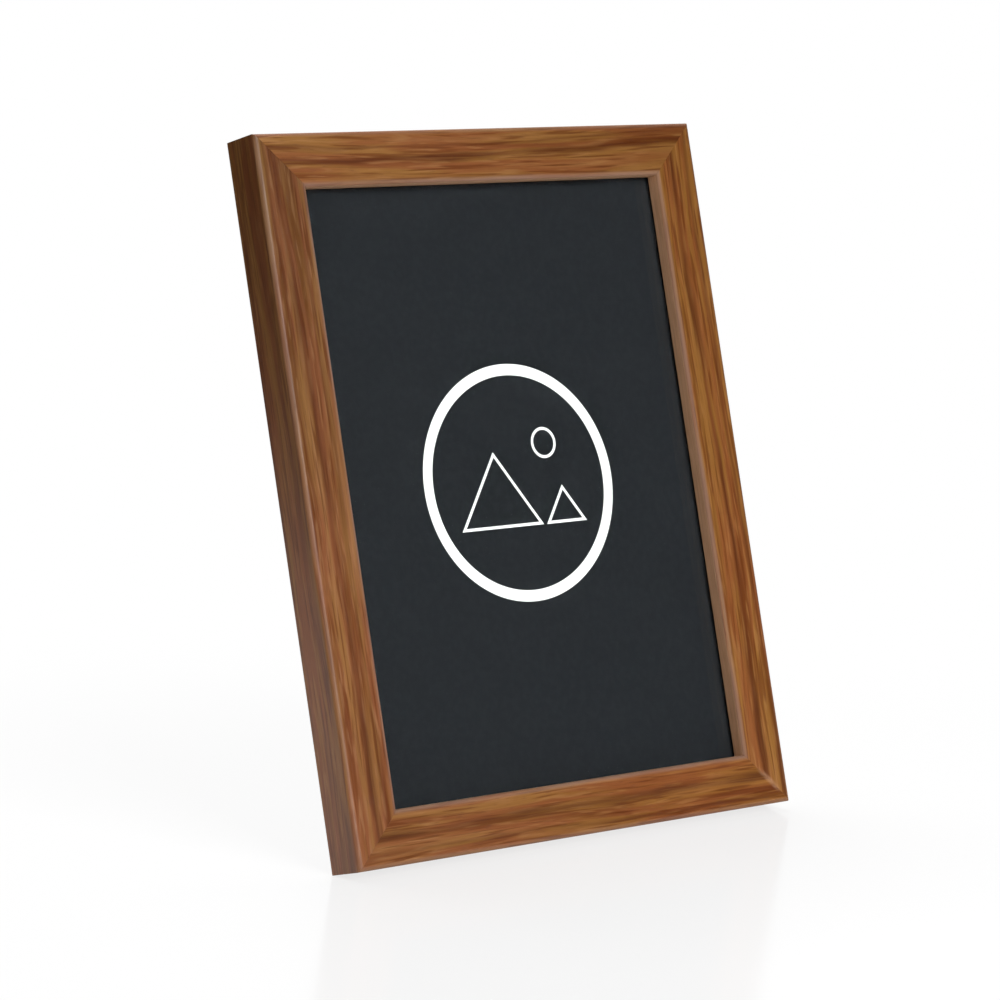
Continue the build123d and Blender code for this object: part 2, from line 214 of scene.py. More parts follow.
def flatten() -> None:
    """Makes the flat faces of the open piece whole, without corners on straight edges."""
    pick_all()
    bpy.ops.mesh.dissolve_limited(angle_limit=FLAT)


def keep_place() -> None:
    """Puts the place, turn and size of the selected piece into its mesh."""
    bpy.ops.object.transform_apply(location=True, rotation=True, scale=True)


def add_box(name: str, low: Vector, high: Vector) -> Piece:
    """Adds a box as the start of a piece, with its place in its mesh.

    Args:
        name: The piece's name.
        low: Its lowest corner.
        high: Its highest corner.

    Returns:
        The new piece.
    """
    bpy.ops.mesh.primitive_cube_add(size=1, location=(low + high) / 2, scale=high - low)
    piece = bpy.context.object
    piece.name = name
    keep_place()
    return piece


def settle(piece: Piece, seat: Matrix) -> None:
    """Moves a piece from where it was modelled to its place in the frame.

    Args:
        piece: The piece, modelled about the origin or upright.
        seat: The matrix from there to its place.
    """
    piece.matrix_world = seat
    choose(piece)
    keep_place()


def modify(kind: str, **settings: str | float | Piece) -> None:
    """Adds a modifier to the active piece and applies it.

    Args:
        kind: The kind of modifier.
        **settings: The modifier's settings, by name.
    """
    modifier = bpy.context.object.modifiers.new(kind.lower(), kind)
    for name, setting in settings.items():
        setattr(modifier, name, setting)
    bpy.ops.object.modifier_apply(modifier=modifier.name)


def clean(piece: Piece) -> None:
    """Merges a piece's doubled corners, takes out faces with no area and makes flat faces whole.

    Args:
        piece: The piece.
    """
    with editing(piece):
        pick_all()
        bpy.ops.mesh.remove_doubles(threshold=DOUBLED)
        bpy.ops.mesh.dissolve_degenerate(threshold=DOUBLED)
        flatten()


def merged_copy(name: str, node: str) -> Piece:
    """Copies a CAD node as one clean mesh.

    Args:
        name: The new piece's name.
        node: The CAD node.

    Returns:
        The new piece.
    """
    piece = bpy.data.objects.new(name, frame["nodes"][node].data.copy())
    bpy.context.scene.collection.objects.link(piece)
    clean(piece)
    return piece


def enter(piece: Piece, finish: Material, node: str, stands_for: bool = True) -> None:
    """Dresses a new piece, sets it on its body, and lets it stand for a CAD node.

    Args:
        piece: The piece in its place.
        finish: Its material.
        node: The CAD node whose body it rides on.
        stands_for: Whether it stands for that node, or is added to it.
    """
    choose(piece)
    bpy.ops.object.shade_smooth_by_angle(angle=SHARP)
    modify("WEIGHTED_NORMAL", keep_sharp=True)
    piece.data.materials.clear()
    piece.data.materials.append(finish)
    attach(piece, CARRIERS[node])
    if stands_for:
        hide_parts(node)
    LOG.info("%s: %d faces on body %s", piece.name, len(piece.data.polygons), CARRIERS[node])


def dress(node: str, finish: Material) -> None:
    """Gives a CAD node that keeps its shape a better material.

    Args:
        node: The CAD node.
        finish: Its material.
    """
    for holder in frame["nodes"][node].material_slots:
        holder.material = finish
    LOG.info("%s: CAD shape in %s", node, finish.name)


@dataclass(frozen=True)
class Posture:
    """A lean about X, in radians, and the upright frame that goes with it."""

    lean: float

    @classmethod
    def of(cls, node: str) -> "Posture":
        """Reads the lean of a flat board from its largest face.

        Args:
            node: The board's CAD node.

        Returns:
            The posture in which that board stands upright, facing front and back.
        """
        areas: dict[tuple[float, float], float] = {}
        for face in frame["nodes"][node].data.polygons:
            way = tuple(round(share, SAME_WAY_DIGITS) for share in face.normal.yz)
            areas[way] = areas.get(way, 0.0) + face.area
        backward = [way for way in areas if way[0] > TOWARDS]
        across, up = max(backward, key=areas.get)
        return cls(math.atan2(-up, across))

    @property
    def seat(self) -> Matrix:
        """Matrix that leans what was modelled upright."""
        return Matrix.Rotation(-self.lean, 4, "X")

    def span(self, node: str) -> Span:
        """Measures a CAD node upright.

        Args:
            node: The CAD node.

        Returns:
            Its lowest and its highest corner in the upright frame.
        """
        turn = Matrix.Rotation(self.lean, 3, "X")
        axes = list(zip(*(turn @ corner.co for corner in frame["nodes"][node].data.vertices)))
        return Vector([min(places) for places in axes]), Vector([max(places) for places in axes])


# Finishes


@dataclass(frozen=True)
class Fade:
    """A smooth change from low to high as a number goes from start to end, held on both sides."""

    start: float
    end: float
    low: float = 0.0
    high: float = 1.0


@dataclass(frozen=True)
class Noise:
    """A noise, by its grains' size along each axis, its finer layers and its own seed."""

    grain: Sizes
    detail: float
    seed: float = 0.0
    change: Fade | None = None  # what the noise is put through


@dataclass(frozen=True)
class Relief:
    """A fine relief, by its depth and how much of it shows."""

    depth: float
    strength: float


class Nodes:
    """A node tree under construction, with short calls for the nodes that the finishes share."""

    def __init__(self, tree: bpy.types.NodeTree) -> None:
        """Takes the tree."""
        self.tree = tree

    def feed(self, target: Socket, value: Value) -> None:
        """Links a socket to an input, or sets the input's value.

        Args:
            target: The input.
            value: The socket or the value that it gets.
        """
        if isinstance(value, Socket):
            self.tree.links.new(value, target)
        else:
            target.default_value = value

    def add(self, kind: str, *values: Value, **settings: str) -> bpy.types.Node:
        """Adds a node.

        Args:
            kind: The kind of node.
            *values: What its first inputs in use get, in order.
            **settings: Its own settings, by name.

        Returns:
            The node.
        """
        node = self.tree.nodes.new(kind)
        for name, setting in settings.items():
            setattr(node, name, setting)
        used = [socket for socket in node.inputs if socket.enabled]
        for target, value in zip(used, values):
            self.feed(target, value)
        return node

    def result(self, kind: str, *values: Value, **settings: str) -> Socket:
        """Adds a node, and gives its first output in use."""
        outputs = self.add(kind, *values, **settings).outputs
        return next(socket for socket in outputs if socket.enabled)

    def math(self, operation: str, *values: Value) -> Socket:
        """Joins numbers by an operation."""
        return self.result("ShaderNodeMath", *values, operation=operation)

    def product(self, *factors: Value) -> Socket:
        """Multiplies numbers."""
        return reduce(lambda first, second: self.math("MULTIPLY", first, second), factors)

    def vector(self, operation: str, *values: Value) -> Socket:
        """Joins vectors by an operation, into a vector or a number."""
        return self.result("ShaderNodeVectorMath", *values, operation=operation)

    def split(self, vector: Socket) -> tuple[Socket, Socket, Socket]:
        """Takes a vector apart."""
        return tuple(self.add("ShaderNodeSeparateXYZ", vector).outputs)

    def fade(self, value: Socket, change: Fade, curve: str = "SMOOTHSTEP") -> Socket:
        """Puts a number through a change."""
        limits = (change.start, change.end, change.low, change.high)
        return self.result("ShaderNodeMapRange", value, *limits, interpolation_type=curve)


class Shader(Nodes):
    """A finish's material under construction, with coordinates in millimetres in its piece's frame."""

    name: str
    seed = 0.0  # shifts its noises, so that two pieces differ

    def __init__(self, seat: Matrix) -> None:
        """Makes the material.

        Args:
            seat: The matrix from the frame that the piece was modelled in to its place.
        """
        self.material = bpy.data.materials.new(self.name)
        self.material.use_nodes = True
        super().__init__(self.material.node_tree)
        self.tree.nodes.clear()
        self.output = self.add("ShaderNodeOutputMaterial")
        self.surface = self.add("ShaderNodeBsdfPrincipled")
        self.show(self.surface.outputs["BSDF"])
        inverse = seat.inverted()
        self.place = self.result(
            "ShaderNodeMapping",
            self.add("ShaderNodeTexCoord").outputs["Object"],
            inverse.translation * PER_METRE,
            inverse.to_3x3().to_euler("XYZ"),
            (PER_METRE,) * 3,
        )
        self.paint()

    def paint(self) -> None:
        """Feeds the Principled shader, in each finish's own way."""
        raise NotImplementedError

    def show(self, surface: Socket) -> None:
        """Makes a shader the material's surface."""
        self.feed(self.output.inputs["Surface"], surface)

    def set(self, **values: Value) -> None:
        """Feeds the Principled shader's inputs, named with underscores for spaces."""
        for name, value in values.items():
            self.feed(self.surface.inputs[name.replace("_", " ")], value)

    def noise(self, noise: Noise, place: Socket | None = None, output: str = "Fac") -> Socket:
        """Adds a noise.

        Args:
            noise: The noise's values.
            place: Its coordinates, where they aren't the piece's own.
            output: Fac for a number, or Color for a vector.

        Returns:
            The noise's socket, after its change.
        """
        place = self.place if place is None else place
        shift = SEED_WAY * (self.seed + noise.seed)
        stretched = self.vector("MULTIPLY_ADD", place, [1 / size for size in noise.grain], shift)
        scale = 1.0
        found = self.add("ShaderNodeTexNoise", stretched, scale, noise.detail).outputs[output]
        return self.fade(found, noise.change) if noise.change else found

    def cells(self, size: float, feature: str, output: str) -> Socket:
        """Divides the surface into uneven cells, and gives a measure of them."""
        return self.add("ShaderNodeTexVoronoi", self.place, 1 / size, feature=feature).outputs[output]

    def blend(self, share: Value, first: Value, second: Value, mode: str = "MIX") -> Socket:
        """Mixes two colours by the second one's share."""
        return self.result("ShaderNodeMix", share, first, second, data_type="RGBA", blend_type=mode)

    def stain(self, colour: Value, factor: Value, share: Value = 1.0) -> Socket:
        """Multiplies a colour by another one."""
        return self.blend(share, colour, factor, "MULTIPLY")

    def mixed(self, share: Socket, first: Socket, second: Socket) -> Socket:
        """Mixes two shaders by the second one's share."""
        return self.result("ShaderNodeMixShader", share, first, second)

    def bump(self, height: Socket, relief: Relief) -> None:
        """Gives the surface a relief.

        Args:
            height: The relief's height from 0 to 1.
            relief: Its depth, and how much of it shows.
        """
        node = self.add("ShaderNodeBump", relief.strength, relief.depth * MM)
        self.feed(node.inputs["Height"], height)
        self.set(Normal=node.outputs["Normal"])


@dataclass(frozen=True)
class Streak:
    """A dark streak along a length of moulding."""

    place: float  # from the outer edge, or on the outer side from the front, at the middle of the length
    slope: float  # rise per millimetre along the length
    width: float
    strength: float
    on_side: bool = False


@dataclass(frozen=True)
class Grain:
    """How the grain of one length of moulding differs from the others', and its colour from end to end,
    which is partly painted shade.
    """

    streaks: tuple[Streak, ...]
    # partly the board's own tone and partly painted shade and light: the stiles are darker towards their
    # tops and lighter towards their bottom ends
    cast: tuple[Colour, Colour]  # what its colours are multiplied by at its two ends
    filled_end: int = 0  # the end along X whose mitre shows pale filler, or 0


GRAINS = {
    Side.BOTTOM: Grain(
        (Streak(9.4, 0.012, 2.3, 0.9), Streak(3.0, -0.006, 1.3, 0.5)),
        ((1.0, 1.03, 1.14, 1.0), (1.0, 0.9, 0.68, 1.0)),
        filled_end=1,
    ),
    Side.TOP: Grain(
        (Streak(8.0, 0.018, 2.1, 0.95), Streak(4.4, 0.012, 1.2, 0.5)),
        ((0.78, 0.76, 0.65, 1.0), (1.02, 1.06, 1.18, 1.0)),
    ),
    Side.LEFT: Grain(
        (
            Streak(7.8, 0.012, 2.4, 0.85),
            Streak(12.5, -0.005, 1.4, 0.5),
            Streak(4.0, -0.015, 4.5, 0.45, on_side=True),
        ),
        ((0.71, 0.76, 0.9, 1.0), (1.13, 1.17, 1.5, 1.0)),
    ),
    Side.RIGHT: Grain(
        (Streak(9.2, 0.008, 2.1, 0.9), Streak(3.2, 0.006, 1.3, 0.55)),
        ((1.1, 1.11, 1.03, 1.0), (0.85, 0.82, 0.65, 1.0)),
        filled_end=-1,
    ),
}


class Walnut(Shader):
    """Walnut with a satin lacquer, whose grain follows a length of moulding.

    Its coordinates run along the length, from the front into the depth, and from the outer edge across.
    """

    ochre = tone(154, 104, 50)
    rosy = tone(146, 86, 45)
    pale = tone(173, 121, 72)
    deep = tone(104, 48, 4)
    dark = tone(84, 35, 2)
    # painted highlight and wear: the pale band that the front arrises catch from the lamps is painted
    # into this rubbed tone
    rubbed = tone(150, 117, 98)
    # painted light: this pale tone on the lip's inner walls stands for light that the glass throws onto
    # them, and filler in a mitre shares it
    wall_light_and_filler = tone(212, 165, 128)
    side_stain = (0.93, 0.85, 0.62, 1.0)  # what the outer sides' colours are multiplied by
    side_edge = Fade(0.9, 0.1)
    drift = Noise((90, 14, 14), 1.0)
    drift_reach = (0, 5, 5)
    fibres = Noise((18, 0.32, 0.32), 2.0, 2)
    fibre_range = Fade(0.3, 0.7)
    fibre_stains = ((0.89, 0.88, 0.86, 1.0), (1.09, 1.09, 1.09, 1.0))  # dark and light factors
    fibre_height = 0.6
    pores = Noise((5, 0.18, 0.18), 1.0, 3, Fade(0.60, 0.72))
    pore_stain = 0.35
    pore_roughness = 0.15
    pore_depth = 0.5
    hues = Noise((60, 3.4, 3.4), 2.0, 4, Fade(0.40, 0.60))
    bands = Noise((150, 4.2, 4.2), 2.0, 5)
    deep_bands = Fade(0.49, 0.33, 0.0, 0.65)
    pale_bands = Fade(0.54, 0.70, 0.0, 0.4)
    dashes = Noise((22, 0.9, 0.9), 1.0, 6, Fade(0.48, 0.32, 0.0, 0.65))
    flecks = Noise((13, 1.0, 1.0), 1.0, 7, Fade(0.53, 0.70, 0.0, 0.5))
    streak_edges = Noise((24, 2.5, 2.5), 1.0, 8, Fade(0.3, 0.7, -0.5, 0.5))
    streak_swells = Noise((34, 9, 9), 0.0, 9, Fade(0.35, 0.6, 0.5, 1.0))
    streak_breaks = Fade(0.3, 0.6, 0.6, 1.0)
    patches = Noise((25, 2, 2), 3.0, 0, Fade(0.35, 0.6, 0.5, 1.0))  # where wear and filler come and go
    rub_reach = Fade(1.8, 0.4)
    rub_margin = 2.0
    rub_and_highlight_shares = (0.4, 0.8)  # on the outer arris and on the sight edge
    wall_edge = Fade(0.6, 0.1)
    wall_front = Fade(0.6, 1.2)
    wall_fibres = Fade(0.35, 0.6, 0.68, 0.92)
    filler_start = (13.5, 9.0)  # from the length's end, where it starts and where it is full
    filler_stop = Fade(3.0, 6.0)
    filler_width = Fade(2.0, 0.3, 0.0, 0.45)
    seam = Fade(0.14, 0.02, 0.0, 0.15)
    satin = Fade(0.3, 0.7, 0.28, 0.38)
    worn_roughness = 0.9
    relief = Relief(0.04, 0.4)
    seed_step = 10.0

    def __init__(self, side: Side, seat: Matrix, half: float, face: float) -> None:
        """Makes the finish of one length.

        Args:
            side: The side of the frame that it is on.
            seat: The matrix from its own frame to its place.
            half: Half of its outer length.
            face: The width of its front.
        """
        self.name = "walnut_" + side.name.lower()
        self.seed = list(Side).index(side) * self.seed_step
        self.grain = GRAINS[side]
        self.half = half
        self.face = face
        super().__init__(seat)

    def paint(self) -> None:
        """Lays figure, streaks, fibres, pores and rubbed arrises with a painted highlight over each
        other, and paints light on the lip's walls.
        """
        self.along, self.depth, self.across = self.split(self.place)
        drift = self.vector("SUBTRACT", self.noise(self.drift, output="Color"), NOISE_MIDDLE)
        self.wavy = self.vector("ADD", self.place, self.vector("MULTIPLY", drift, self.drift_reach))
        self.fibre = self.noise(self.fibres, self.wavy)
        pore = self.noise(self.pores)
        # painted shade and the board's own tone, changing from one end of the length to the other
        cast = self.blend(self.fade(self.along, Fade(-self.half, self.half)), *self.grain.cast)
        colour = self.streaked(self.stain(self.figure(), cast))
        colour = self.stain(colour, self.side_stain, self.fade(self.across, self.side_edge))
        lines = self.fade(self.fibre, self.fibre_range, "LINEAR")
        colour = self.stain(colour, self.blend(lines, *self.fibre_stains))
        colour = self.blend(self.product(pore, self.pore_stain), colour, self.dark)
        # painted highlight and wear: the front arrises are paled towards the rubbed tone
        wear_and_highlight = self.wear_and_highlight()
        colour = self.edged(self.blend(wear_and_highlight, colour, self.rubbed))
        rough = self.math("MULTIPLY_ADD", pore, self.pore_roughness, self.fade(self.fibre, self.satin))
        rough = self.math("MULTIPLY_ADD", wear_and_highlight, self.worn_roughness, rough)
        height = self.product(self.fibre, self.fibre_height)
        height = self.math("MULTIPLY_ADD", pore, -self.pore_depth, height)
        self.bump(height, self.relief)
        self.set(Base_Color=colour, Roughness=rough)

    def figure(self) -> Socket:
        """Colours the wood's figure: warm and rosy patches with pale and deep bands along them.

        Returns:
            The colour's socket.
        """
        band = self.noise(self.bands, self.wavy)
        colour = self.blend(self.noise(self.hues, self.wavy), self.ochre, self.rosy)
        colour = self.blend(self.fade(band, self.deep_bands), colour, self.deep)
        colour = self.blend(self.fade(band, self.pale_bands), colour, self.pale)
        colour = self.blend(self.noise(self.flecks, self.wavy), colour, self.pale)
        return self.blend(self.noise(self.dashes, self.wavy), colour, self.deep)

    def streaked(self, colour: Socket) -> Socket:
        """Adds the length's dark streaks, ragged and broken up by the fibres.

        Args:
            colour: The colour so far.

        Returns:
            The colour's socket.
        """
        depth, across = self.split(self.wavy)[1:]
        ragged = self.noise(self.streak_edges)
        broken = self.product(self.fade(self.fibre, self.streak_breaks), self.noise(self.streak_swells))
        for streak in self.grain.streaks:
            line = self.math("MULTIPLY_ADD", self.along, streak.slope, streak.place)
            gap = self.math("SUBTRACT", depth if streak.on_side else across, line)
            gap = self.math("ABSOLUTE", self.math("ADD", gap, ragged))
            share = self.fade(gap, Fade(streak.width, 0.0, 0.0, streak.strength))
            colour = self.blend(self.product(share, broken), colour, self.dark)
        return colour

    def wear_and_highlight(self) -> Socket:
        """Finds where the front arrises are rubbed and carry a painted highlight, the sight edge more
        than the outer one.

        Returns:
            The socket of the rubbing and its painted highlight, from 0 to 1.
        """
        nearest = self.math("MINIMUM", self.across, self.math("SUBTRACT", self.face, self.across))
        squares = [self.product(distance, distance) for distance in (nearest, self.depth)]
        arris = self.fade(self.math("SQRT", self.math("ADD", *squares)), self.rub_reach)
        inwards = Fade(self.rub_margin, self.face - self.rub_margin, *self.rub_and_highlight_shares)
        return self.product(arris, self.noise(self.patches), self.fade(self.across, inwards))

    def edged(self, colour: Socket) -> Socket:
        """Paints light on the lip's wall in a pale tone, and draws the mitres' seams and any filler in
        them.

        Args:
            colour: The colour so far.

        Returns:
            The colour's socket.
        """
        end = self.grain.filled_end
        # painted light on the lip's inner wall, kept off the front arris and varied by the fibres
        wall = self.product(
            self.fade(self.math("SUBTRACT", self.face, self.across), self.wall_edge),
            self.fade(self.depth, self.wall_front),
            self.fade(self.fibre, self.wall_fibres),
        )
        colour = self.blend(wall, colour, self.wall_light_and_filler)
        to_end = self.math("SUBTRACT", self.half, self.math("ABSOLUTE", self.along))
        to_mitre = self.math("ABSOLUTE", self.math("SUBTRACT", to_end, self.across))
        if end:
            start = Fade(*(self.half - at for at in self.filler_start))
            filler = self.product(
                self.fade(self.product(self.along, end), start),
                self.fade(self.across, self.filler_stop),
                self.fade(to_mitre, self.filler_width),
                self.noise(self.patches),
            )
            colour = self.blend(filler, colour, self.wall_light_and_filler)
        return self.blend(self.fade(to_mitre, self.seam), colour, self.dark)


class ClearGlass(Shader):
    """Picture glass, coated to damp its reflections, which lets the lamps through."""

    name = "clear_picture_glass"
    tint = (0.965, 0.985, 0.975, 1.0)
    damped_ior = 1.2
    smears = Noise((60, 60, 25), 4.0, 0, Fade(0.45, 0.8, 0.0, 0.05))

    def paint(self) -> None:
        """Clears the glass but for faint smears, and leaves it out of the lamps' way."""
        self.set(Base_Color=self.tint, Transmission_Weight=1.0, IOR=self.damped_ior)
        self.set(Roughness=self.noise(self.smears))
        through = self.result("ShaderNodeBsdfTransparent", self.tint)
        shadow = self.add("ShaderNodeLightPath").outputs["Is Shadow Ray"]
        self.show(self.mixed(shadow, self.surface.outputs["BSDF"], through))


class Print(Shader):
    """Matt print on paper, in one ink."""

    ink: Colour
    thin_ink: Colour
    mottle = Noise((2.2,) * 3, 4.0, 0, Fade(0.35, 0.7))
    tooth = Noise((0.9,) * 3, 1.0)
    relief = Relief(0.006, 0.2)
    matt = Fade(0.3, 0.7, 0.6, 0.7)
    gloss = 0.05

    def paint(self) -> None:
        """Prints the ink, mottled, on the paper's tooth."""
        tooth = self.noise(self.tooth)
        colour = self.blend(self.noise(self.mottle), self.ink, self.thin_ink)
        self.bump(tooth, self.relief)
        self.set(Base_Color=colour, Roughness=self.fade(tooth, self.matt), Specular_IOR_Level=self.gloss)


class Charcoal(Print):
    """Charcoal print."""

    name = "charcoal_print"
    ink = tone(28, 30, 33)
    thin_ink = tone(32, 34, 37)


class White(Print):
    """White print."""

    name = "white_print"
    ink = tone(250, 250, 248)
    thin_ink = tone(242, 242, 240)


class Fibreboard(Shader):
    """Hard fibreboard with black embossed paper on both faces and a raw brown core at its edges."""

    paper = tone(46, 45, 45)
    rubbed = tone(70, 68, 66)
    core = tone(112, 82, 54)
    dark_core = tone(66, 46, 30)
    paper_mm = 0.25
    torn_mm = 0.05
    pebble_mm = 1.3
    pebble_round = Fade(0.0, 0.3)
    pebble_wear = Fade(0.5, 1.0, 0.0, 0.35)
    clouds = Noise((30,) * 3, 4.0)
    cloud_wear = Fade(0.4, 0.75, 0.0, 0.6)
    grit = Noise((0.35,) * 3, 3.0)
    grit_range = Fade(0.35, 0.65)
    relief = Relief(0.12, 0.8)
    matt = Fade(0.3, 0.7, 0.5, 0.65)
    gloss = 0.35

    def __init__(self, name: str, seat: Matrix, span: Span) -> None:
        """Makes the finish of one board.

        Args:
            name: The material's name.
            seat: The matrix from the board's upright frame to its place.
            span: The board's lowest and highest corner, upright.
        """
        self.name = name
        self.span = span
        super().__init__(seat)

    def paint(self) -> None:
        """Tells the papered faces from the raw edges, and dresses both."""
        front, back = (corner.y * PER_METRE for corner in self.span)
        inside = (back - front) / 2 - self.paper_mm
        depth = self.math("SUBTRACT", self.split(self.place)[1], (front + back) / 2)
        faced = self.fade(self.math("ABSOLUTE", depth), Fade(inside - self.torn_mm, inside))
        cells = self.cells(self.pebble_mm, "DISTANCE_TO_EDGE", "Distance")
        pebble = self.fade(cells, self.pebble_round)
        cloud = self.noise(self.clouds)
        grit = self.noise(self.grit)
        paper = self.blend(self.fade(cloud, self.cloud_wear), self.paper, self.rubbed)
        paper = self.blend(self.fade(pebble, self.pebble_wear), paper, self.rubbed)
        core = self.blend(self.fade(grit, self.grit_range), self.dark_core, self.core)
        self.bump(self.blend(faced, grit, pebble), self.relief)
        self.set(Base_Color=self.blend(faced, core, paper), Roughness=self.fade(cloud, self.matt))
        self.set(Specular_IOR_Level=self.gloss)


class Plate(Shader):
    """Plated steel, with the direction that it was rolled or polished in."""

    bright: Colour
    dull: Colour
    polish: tuple[float, float]  # its roughness where it is brightest and dullest
    spangle_mm: float
    scratches: Noise
    spangle_share = 0.35
    stains = Noise((5,) * 3, 3.0, 2, Fade(0.45, 0.75, 0.0, 0.6))
    dulling = 0.3
    dull_range = (0.35, 0.85)
    relief = Relief(0.012, 0.35)

    def paint(self) -> None:
        """Lays spangle, stains and fine scratches on the plate."""
        spangle = self.split(self.cells(self.spangle_mm, "F1", "Color"))[0]
        scratch = self.noise(self.scratches)
        dull = self.math("MULTIPLY_ADD", spangle, self.spangle_share, self.noise(self.stains))
        rough = self.math("MULTIPLY_ADD", dull, self.dulling, scratch)
        rough = self.fade(rough, Fade(*self.dull_range, *self.polish))
        self.bump(scratch, self.relief)
        self.set(Base_Color=self.blend(dull, self.bright, self.dull), Metallic=1.0, Roughness=rough)


class Zinc(Plate):
    """Zinc plate, rolled from side to side."""

    name = "zinc_plate"
    bright = tone(205, 206, 204)
    dull = tone(168, 170, 170)
    polish = (0.28, 0.5)
    spangle_mm = 2.5
    scratches = Noise((9, 0.2, 0.2), 3.0)


class Nickel(Plate):
    """Nickel plate, polished from front to back."""

    name = "nickel_plate"
    bright = tone(214, 211, 205)
    dull = tone(186, 182, 176)
    polish = (0.14, 0.3)
    spangle_mm = 4.0
    scratches = Noise((0.3, 4, 0.3), 3.0)


class WhiteTable(Shader):
    """A table top that is white to the eye, and shaded and faintly glossy near the object."""

    name = "white_table"
    colour = (0.8, 0.8, 0.8, 1.0)
    roughness = 0.7
    shaded_reach = (250.0, 580.0)  # from its middle, where its shading starts to fade and where it ends
    glow = (1.07, 1.0)  # strength, from near the object to far from it like the next two
    glow_shares = (0.8, 1.0)
    gloss_shares = (0.1, 0.0)
    gloss_roughness = 0.15
    mirrored_reach = (-350.0, -850.0)  # along Y, where mirrors lose sight of the table

    def __init__(self, middle: Sequence[float], room: float) -> None:
        """Makes the finish.

        Args:
            middle: The middle of the shaded stretch.
            room: How bright the room is that mirrors see past the table.
        """
        self.middle = Vector(middle) * PER_METRE
        self.room = room
        super().__init__(Matrix())

    def paint(self) -> None:
        """Makes the top glow for the eye and its mirrors, less and with a sheen near the object."""
        self.set(Base_Color=self.colour, Roughness=self.roughness, Specular_IOR_Level=0.0)
        away = self.vector("DISTANCE", self.place, self.middle)
        path = self.add("ShaderNodeLightPath").outputs
        mirrored = path["Is Glossy Ray"]
        seen = self.math("MAXIMUM", path["Is Camera Ray"], mirrored)
        seen = self.math("MAXIMUM", seen, path["Is Transmission Ray"])
        lost = self.fade(self.split(self.place)[1], Fade(*self.mirrored_reach, 0.0, 1.0 - self.room))
        kept = self.math("SUBTRACT", 1.0, self.product(lost, mirrored))
        ranges = (self.glow, self.glow_shares, self.gloss_shares)
        strength, white, sheen = (self.fade(away, Fade(*self.shaded_reach, *ends)) for ends in ranges)
        glow = self.result("ShaderNodeEmission", WHITE_LIGHT, self.product(strength, kept))
        gloss = self.result("ShaderNodeBsdfGlossy", self.colour, self.gloss_roughness)
        top = self.mixed(self.product(seen, white), self.surface.outputs["BSDF"], glow)
        self.show(self.mixed(self.product(seen, sheen), top, gloss))


# Sub-assemblies


